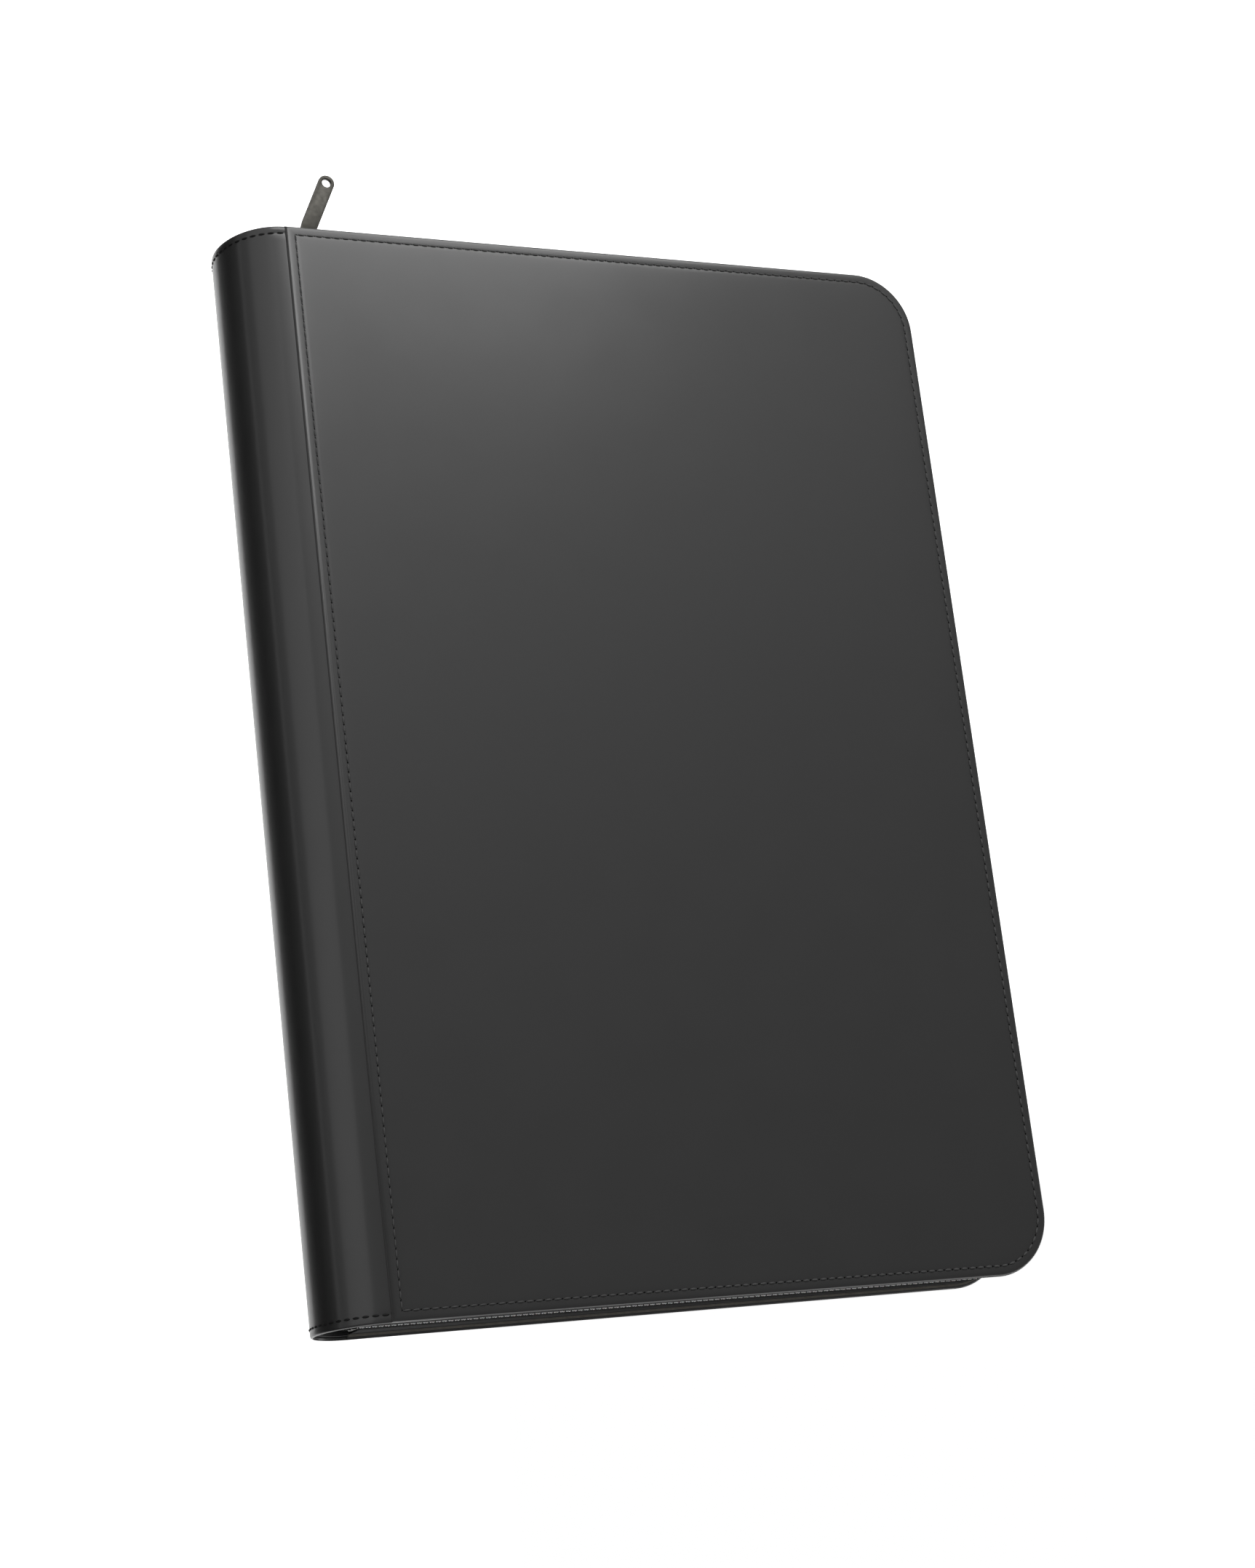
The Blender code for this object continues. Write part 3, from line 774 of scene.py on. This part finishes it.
def zipTeeth(side, place, flip):
    name = f"{side}_zip_teeth"
    starts = (teeth["footStart"], teeth["headStart"])[::flip]
    line = bandRun("teeth_line", teeth["inset"], *starts)
    bpy.ops.mesh.primitive_cube_add(size=1)
    tooth = bpy.context.object
    tooth.name = f"{name}_moulded"
    tooth.scale = teeth["size"]
    tooth.location = (teeth["pitch"] / 4, 0, teeth["reach"])  # a quarter, so that the two rows alternate
    applyPlace(tooth)
    shape(tooth, "BEVEL", width=teeth["bevel"], segments=1)
    alongLine(tooth, line, teeth["pitch"])
    smooth(tooth, 60)
    settle(tooth, place, teethNylon)
    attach(tooth, f"{side}_cover")
    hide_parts(name)


for side, (place, flip) in halves.items():
    gussetWall(side, covers[side])
    zipTape(side, place)
    zipTeeth(side, place, flip)
print("zip band made")


# A CAD piece's own mesh with its corners rounded
def rounded(node, name, radius, finish):
    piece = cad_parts[node].copy()
    piece.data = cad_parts[node].data.copy()
    piece.name = name
    piece.parent = None
    piece.data.materials.clear()
    bpy.context.scene.collection.objects.link(piece)
    faceOutwards(piece)
    shape(piece, "BEVEL", width=radius, segments=3, limit_method="ANGLE", angle_limit=math.radians(40))
    smooth(piece, 40)
    settle(piece, Matrix(), finish)
    return piece


for side in covers:
    for end in ("foot", "head"):
        name = f"{side}_zip_stop_{end}"
        stop = rounded(name, f"{name}_casting", band["stopEdge"], gunmetal)
        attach(stop, f"{side}_cover")
        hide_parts(name)


# Zip pull: slider, wire link and flat tab, each drawn with y out of the head
pull = {
    "inset": 1.85 * mm,
    "place": 13.5 * mm,
    "wireHeight": 3.25 * mm,
    "linkTilt": math.radians(15),
    "linkReach": 6.5 * mm,
    "wire": 1.2 * mm,
    "linkSide": 2.0 * mm,
    "bend": 0.9 * mm,
    "tabTilt": math.radians(10),
    "tabThickness": 1.2 * mm,
    "tabWidth": 5.4 * mm,
    "tabFar": 20.9 * mm,
    "eyeEnd": 2.2 * mm,
    "neck": 4.0 * mm,
    "eye": 1.1 * mm,
    "hole": 1.5 * mm,
    "edge": 0.14 * mm,
    "sliderEdge": 0.2 * mm,
}
sliderPlace = middlePlace @ Matrix.Translation((pull["place"], halfHeight - pull["inset"], 0))
linkPlace = (
    sliderPlace @ Matrix.Translation((0, pull["wireHeight"], 0)) @ Matrix.Rotation(-pull["linkTilt"], 4, "Z")
)
tabPlace = (
    linkPlace @ Matrix.Translation((0, pull["linkReach"], 0)) @ Matrix.Rotation(-pull["tabTilt"], 4, "Z")
)


def arcPoints(centre, radius, start, end, steps):
    turns = [math.radians(start + (end - start) * n / steps) for n in range(steps + 1)]
    return [(centre[0] + radius * math.cos(a), centre[1] + radius * math.sin(a)) for a in turns]


# Closed lines of points drawn as one curve and made a mesh
def fromCurve(name, lines, **settings):
    data = bpy.data.curves.new(name, "CURVE")
    for setting, value in settings.items():
        setattr(data, setting, value)
    for line in lines:
        spline = data.splines.new("POLY")
        spline.points.add(len(line) - 1)
        for point, spot in zip(spline.points, line):
            point.co = (*spot, 1)
        spline.use_cyclic_u = True
    piece = bpy.data.objects.new(name, data)
    bpy.context.scene.collection.objects.link(piece)
    activate(piece)
    bpy.ops.object.convert(target="MESH")
    piece = bpy.context.object
    faceOutwards(piece)
    return piece


def pullTab():
    edge = pull["edge"]  # the bevel puts back what the outlines leave off
    wide, end = pull["tabWidth"] / 2 - edge, pull["eyeEnd"] - edge
    far, neck = pull["tabFar"], pull["neck"]
    lean = math.degrees(math.acos(end / math.hypot(neck, wide)) - math.atan2(neck, wide))
    outline = [(wide, neck)] + arcPoints((0, far), wide, 0, 180, 40) + [(-wide, neck)]
    outline += arcPoints((0, 0), end, 180 + lean, 360 - lean, 28)
    eye = arcPoints((0, 0), pull["eye"] + edge, 352, 0, 44)  # holes wind the other way
    hole = arcPoints((0, far), pull["hole"] + edge, 352, 0, 44)
    lines = [[(x, y, 0) for x, y in line] for line in (outline, eye, hole)]
    tab = fromCurve("pull_tab_casting", lines, dimensions="2D", fill_mode="BOTH",
                    extrude=pull["tabThickness"] / 2 - edge, bevel_depth=edge, bevel_resolution=3)
    smooth(tab, 50)
    settle(tab, tabPlace, gunmetal)
    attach(tab, "pull_tab")
    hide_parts("pull_tab")


def pullLink():
    side, bend, reach = pull["linkSide"], pull["bend"], pull["linkReach"]
    route = arcPoints((bend, bend - side), bend, 180, 270, 8)
    route += arcPoints((reach - bend, bend - side), bend, 270, 360, 8)
    route += arcPoints((reach - bend, side - bend), bend, 0, 90, 8)
    route += arcPoints((bend, side - bend), bend, 90, 180, 8)
    link = fromCurve("pull_link_wire", [[(0, y, z) for y, z in route]], dimensions="3D",
                     bevel_depth=pull["wire"] / 2, bevel_resolution=5)
    smooth(link, 60)
    settle(link, linkPlace, gunmetal)
    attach(link, "pull_link")
    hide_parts("pull_link")


pullTab()
pullLink()
slider = rounded("zip_slider", "zip_slider_casting", pull["sliderEdge"], gunmetal)
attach(slider, "zip_slider")
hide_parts("zip_slider")
print("zip pull made")


# Pages: clear pockets, three by three on each side, welded round their borders
page = {
    "count": 20,
    "pitch": 1.1 * mm,
    "thickness": 0.7 * mm,
    "end": 219.5 * mm,
    "half": 150 * mm,
    "corner": 3 * mm,
    "firstRoot": -8.157 * mm,
    "columns": [213.5, 146.5, 143.5, 76.5, 73.5, 6.5],
    "rows": [-144, -52, -46, 46, 52, 144],
    "pocketRise": 0.14 * mm,
    "pocketSteps": (0.75, 0.25),  # share of the rise on each border, from the weld inwards
    "border": 0.9 * mm,
    "bindingEdge": 0.5 * mm,
}


def pageHeight(number):
    return (number - (page["count"] + 1) / 2) * page["pitch"]


def newPage(name):
    columns = [0] + sorted(x * mm for x in page["columns"]) + [page["end"]]
    rows = [-page["half"]] + [y * mm for y in page["rows"]] + [page["half"]]
    across, along = len(columns) - 1, len(rows) - 1
    bpy.ops.mesh.primitive_grid_add(x_subdivisions=across, y_subdivisions=along, size=2)
    piece = bpy.context.object
    piece.name = name
    for vertex in piece.data.vertices:
        vertex.co.x = columns[round((vertex.co.x + 1) / 2 * across)]
        vertex.co.y = rows[round((vertex.co.y + 1) / 2 * along)]
    pick(piece, "VERT", lambda co: co.x > page["end"] - hair and abs(co.y) > page["half"] - hair)
    bpy.ops.mesh.bevel(offset=page["corner"], segments=6, affect="VERTICES")
    bpy.ops.object.mode_set(mode="OBJECT")
    piece.data.materials.append(weldedFilm)
    piece.data.materials.append(clearFilm)
    top = page["thickness"] / 2 - page["pocketRise"]
    pickAll(piece, "VERT")
    bpy.ops.transform.translate(value=(0, 0, top))
    bpy.ops.object.mode_set(mode="OBJECT")
    inPocket = lambda spot, lines: any(
        abs(spot - (lines[n] + lines[n + 1]) / 2) < hair for n in (1, 3, 5)
    )
    pick(piece, "FACE", lambda centre, normal: inPocket(centre.x, columns) and inPocket(centre.y, rows))
    piece.active_material_index = 1
    bpy.ops.object.material_slot_assign()
    for share in page["pocketSteps"]:
        bpy.ops.mesh.inset(thickness=page["border"], depth=page["pocketRise"] * share, use_individual=True)
    bpy.ops.mesh.select_all(action="SELECT")
    bpy.ops.mesh.region_to_loop()
    bpy.ops.mesh.extrude_region_move(TRANSFORM_OT_translate={"value": (0, 0, -top)})
    bpy.ops.object.mode_set(mode="OBJECT")
    shape(piece, "MIRROR", use_axis=(False, False, True), use_clip=False)
    faceOutwards(piece)
    smooth(piece, 30)
    return piece


pattern = newPage("page_pattern")
for number in range(1, page["count"] + 1):
    leaf = pattern.copy()
    leaf.data = pattern.data.copy()
    leaf.name = f"page_{number:02d}_pockets"
    bpy.context.scene.collection.objects.link(leaf)
    root = page["firstRoot"] + pageHeight(page["count"]) - abs(pageHeight(number))
    for vertex in leaf.data.vertices:
        if vertex.co.x < hair:
            vertex.co.x = root
    settle(leaf, middlePlace @ Matrix.Translation((0, 0, pageHeight(number))))
    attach(leaf, f"page_{number:02d}")
    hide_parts(f"page_{number:02d}")
discard(pattern)
binding = rounded("page_binding", "page_binding_edges", page["bindingEdge"], filmEdges)
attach(binding, "spine_3")
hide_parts("page_binding")
print("pages made")


# Cover linings: woven fabric with a turned edge. The boards behind them only get their finish
liningSheet = {"low": 3.5 * mm, "thickness": 0.35 * mm, "inset": 2.6 * mm, "turn": 0.15 * mm}


def coverLining(side, place):
    name = f"{side}_lining"
    piece = coverSheet(f"{name}_weave", liningSheet["inset"])
    pickAll(piece, "FACE")
    bpy.ops.transform.translate(value=(0, 0, -liningSheet["low"]))
    bpy.ops.mesh.extrude_region_move(
        TRANSFORM_OT_translate={"value": (0, 0, liningSheet["thickness"])})
    bpy.ops.object.mode_set(mode="OBJECT")
    faceOutwards(piece)
    shape(piece, "BEVEL", width=liningSheet["turn"], segments=3, limit_method="ANGLE")
    smooth(piece, 40)
    settle(piece, place, liningWeave)
    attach(piece, f"{side}_cover")
    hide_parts(name)


for side, place in covers.items():
    coverLining(side, place)
    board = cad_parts[f"{side}_board"].material_slots[0]
    board.link = "OBJECT"
    board.material = greyBoard
print("linings made")


# Stage: a pale floor, low enough for the open covers, with soft light
stage = {
    "floorDrop": 260 * mm,
    "floorWidth": 12,
    "backdropRadius": 5.9,
    "world": 0.27,
}

bpy.ops.mesh.primitive_plane_add(size=stage["floorWidth"], location=(0, 0, -stage["floorDrop"]))
floor = bpy.context.object
floor.name = "floor"
floorPaint = newMaterial(
    "paleFloor", Base_Color=colour("f4f4f4"), Roughness=0.9, Emission_Color=colour("ffffff"),
    Emission_Strength=1.0,
)[0]
floor.data.materials.append(floorPaint)

bpy.ops.mesh.primitive_uv_sphere_add(segments=48, ring_count=24, radius=stage["backdropRadius"])
backdrop = bpy.context.object
backdrop.name = "backdrop"
backdropPaint = newMaterial(
    "paleBackdrop", Base_Color=colour("000000"), Emission_Color=colour("ffffff"), Emission_Strength=1.0,
    Specular_IOR_Level=0.0,
)[0]
backdrop.data.materials.append(backdropPaint)
backdrop.visible_diffuse = False
backdrop.visible_glossy = False
backdrop.visible_shadow = False
backdrop.visible_transmission = False

world = bpy.data.worlds.new("studio")
bpy.context.scene.world = world
world.use_nodes = True
world.node_tree.nodes["Background"].inputs["Color"].default_value = (1, 1, 1, 1)
world.node_tree.nodes["Background"].inputs["Strength"].default_value = stage["world"]

# Black cards beside the spine and under the foot keep the floor's light off all but the spine's rim
cardPaint = newMaterial(
    "blackCard", Base_Color=colour("000000"), Roughness=1.0, Specular_IOR_Level=0.0,
)[0]
# Each card: place, turn about y, and size
cards = {
    "spineCard": ((-0.255, 0, -0.12), math.pi / 2, (0.28, 2.4)),
    "footCard": ((0.21, -0.26, -0.24), 0, (0.4, 0.36)),
}
for name, (spot, turn, size) in cards.items():
    bpy.ops.mesh.primitive_plane_add(size=1, location=spot, rotation=(0, turn, 0))
    card = bpy.context.object
    card.name = name
    card.scale = (*size, 1)
    card.data.materials.append(cardPaint)
    card.visible_camera = False

# Each light: place, point it faces, width and height in metres, and power in watts
lights = {
    "overheadSoftbox": ((0.25, 1.25, 1.15), (0, 0.05, 0.04), (1.3, 0.9), 21.5),
    "spineSoftbox": ((-1.0, 0.25, 0.9), (-0.1, 0.05, 0.03), (1.8, 1.3), 5),
}
for name, (spot, target, size, power) in lights.items():
    data = bpy.data.lights.new(name, "AREA")
    data.shape = "RECTANGLE"
    data.size, data.size_y = size
    data.energy = power
    lamp = bpy.data.objects.new(name, data)
    bpy.context.scene.collection.objects.link(lamp)
    lamp.location = spot
    lamp.rotation_euler = (Vector(target) - Vector(spot)).to_track_quat("-Z", "Y").to_euler()

# The camera looks down on the front cover from the spine's side
view = {
    "spot": Vector((-398.03, -256.76, 915.34)) * mm,
    "ahead": Vector((0.38663, 0.24911, -0.88795)),
    "up": Vector((0.01228, 0.96135, 0.27505)),
    "lens": 72.14,
    "sensor": 36,
    "near": 0.01,
    "far": 50,
}
cameraData = bpy.data.cameras.new("camera")
cameraData.lens = view["lens"]
cameraData.sensor_width = view["sensor"]
cameraData.clip_start = view["near"]
cameraData.clip_end = view["far"]
camera = bpy.data.objects.new("camera", cameraData)
bpy.context.scene.collection.objects.link(camera)
across = view["ahead"].cross(view["up"]).normalized()
upright = across.cross(view["ahead"]).normalized()
turn = Matrix((across, upright, -view["ahead"])).transposed().to_4x4()
camera.matrix_world = Matrix.Translation(view["spot"]) @ turn
bpy.context.scene.camera = camera
bpy.context.scene.view_settings.view_transform = "Standard"
bpy.context.scene.view_settings.look = "None"
print("stage set")

deselectAll()
